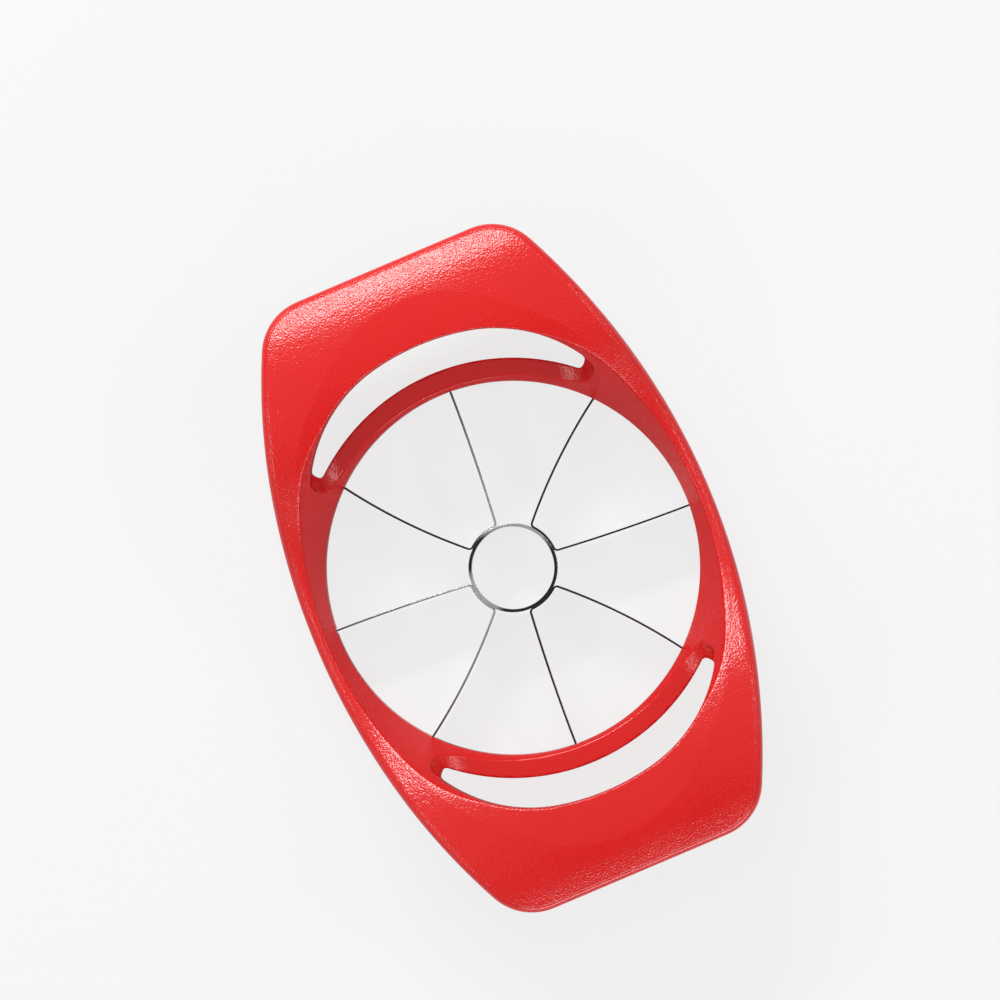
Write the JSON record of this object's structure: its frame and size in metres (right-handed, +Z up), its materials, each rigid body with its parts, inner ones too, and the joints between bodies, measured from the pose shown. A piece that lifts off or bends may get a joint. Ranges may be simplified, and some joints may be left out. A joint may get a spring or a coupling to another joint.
{
  "type": "apple slicer",
  "caption": "Push-down apple corer and slicer: a moulded frame with two wing handles and finger slots round steel blades and a core ring.",
  "frame": {"origin": "on the axis of the round opening, at the height of the face that the tool stands on", "axes": "+X along the line of the two handles, +Y across it, +Z up, away from the cutting edges"},
  "size_m": [0.1742, 0.1124, 0.04],
  "materials": {
    "frame_plastic": "moulded ABS, fine leather grain on the handles, polished in the funnel",
    "lock_ring_plastic": "moulded, smooth",
    "blade_steel": "stainless strip, satin, ground edge"
  },
  "bodies": {
    "root": {"frame": "frame_plastic", "lock_ring": "lock_ring_plastic", "core_ring": "blade_steel", "blade_strip_1": "blade_steel", "blade_strip_2": "blade_steel", "blade_strip_3": "blade_steel", "blade_strip_4": "blade_steel"}
  },
  "joints": []
}
